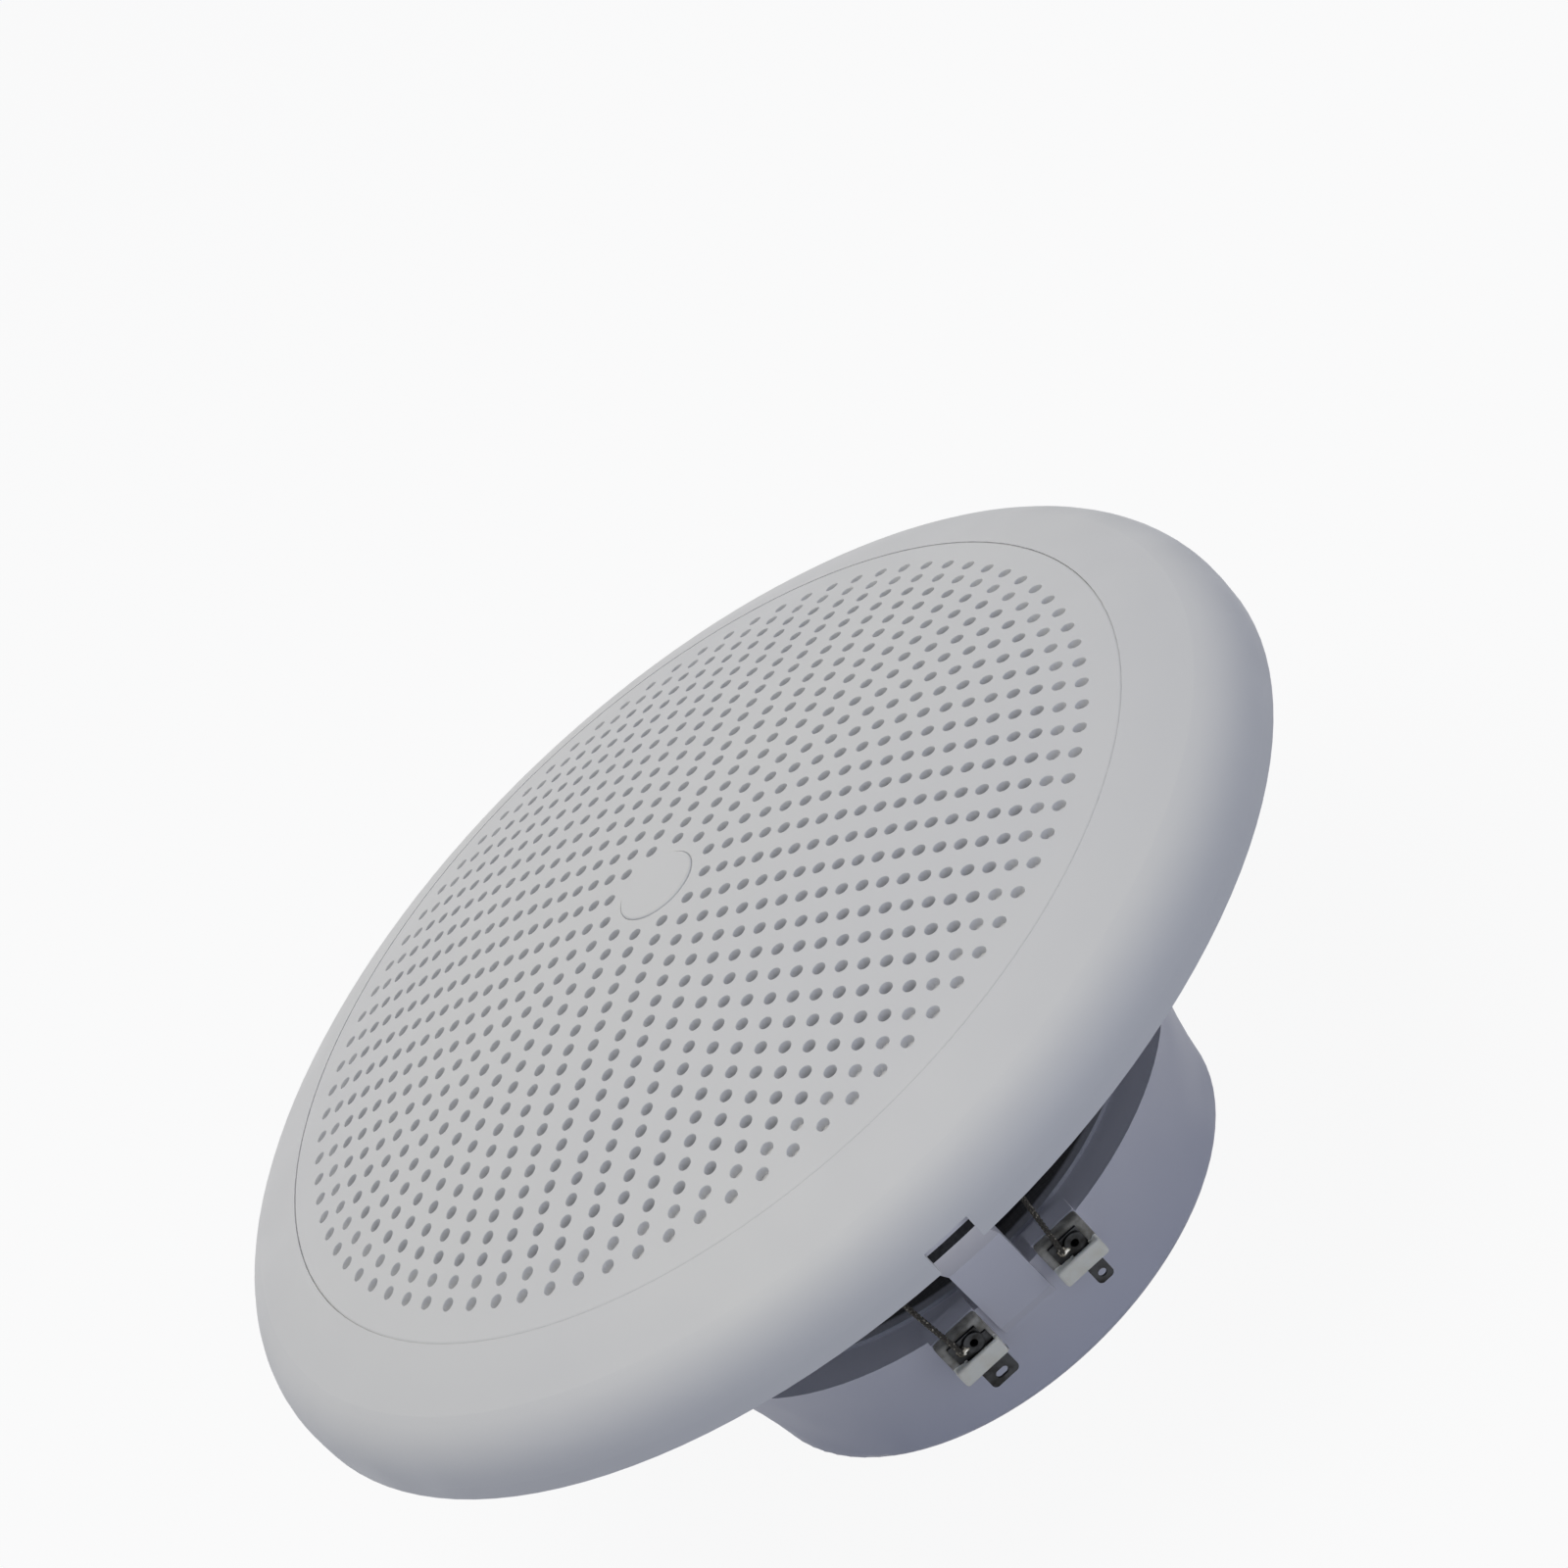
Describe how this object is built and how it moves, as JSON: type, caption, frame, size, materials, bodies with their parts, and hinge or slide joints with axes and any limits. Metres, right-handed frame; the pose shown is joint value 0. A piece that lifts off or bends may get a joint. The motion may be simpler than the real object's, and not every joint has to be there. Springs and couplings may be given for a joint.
{
  "type": "in-ceiling speaker",
  "caption": "Round white in-ceiling loudspeaker with a domed perforated grille in a convex bezel, an open moulded basket with a magnet can behind, solder tags and a moving cone.",
  "frame": {"origin": "centre of the mounting plane, where the rear face of the flange gasket meets the ceiling", "axes": "+Z out of the front of the grille, -Y towards the solder tags and the pry notch"},
  "size_m": [0.18, 0.1799, 0.0816],
  "materials": {
    "white_shell": "smooth satin white moulding",
    "white_frame": "satin white moulding",
    "foam": "closed-cell foam",
    "surround_rubber": "matt rubber",
    "black_plastic": "matt",
    "cone_plastic": "satin film",
    "former_aluminium": "bare",
    "copper": "enamelled wire",
    "spider_cloth": "resin-stiffened woven cloth",
    "plated_steel": "zinc plated",
    "ferrite": "ground ferrite",
    "ivory_plastic": "satin",
    "tinned_metal": "dull tinned",
    "lead_braid": "braided tinsel"
  },
  "bodies": {
    "chassis": {"bezel_ring": "white_shell", "grille": "white_shell", "basket": "white_frame", "rear_cap": "white_frame", "flange_gasket": "foam", "surround": "surround_rubber", "surround_clamp_ring": "black_plastic", "spider": "spider_cloth", "top_plate": "plated_steel", "magnet": "ferrite", "pole_yoke": "plated_steel", "motor_screws": "plated_steel", "terminal_block_left": "ivory_plastic", "terminal_block_right": "ivory_plastic", "positive_tag": "tinned_metal", "negative_tag": "tinned_metal", "terminal_rivets": "tinned_metal", "tinsel_lead_left": "lead_braid", "tinsel_lead_right": "lead_braid"},
    "diaphragm": {"cone": "cone_plastic", "dust_cap": "cone_plastic", "voice_coil_former": "former_aluminium", "voice_coil": "copper"}
  },
  "joints": [
    {"name": "cone_travel", "type": "slide", "parent": "chassis", "child": "diaphragm", "axis": [0, 0, 1], "range_m": [-0.0025, 0.0025], "stiffness_N_per_m": 2000, "deforming": ["surround", "spider", "tinsel_lead_left", "tinsel_lead_right"]}
  ]
}
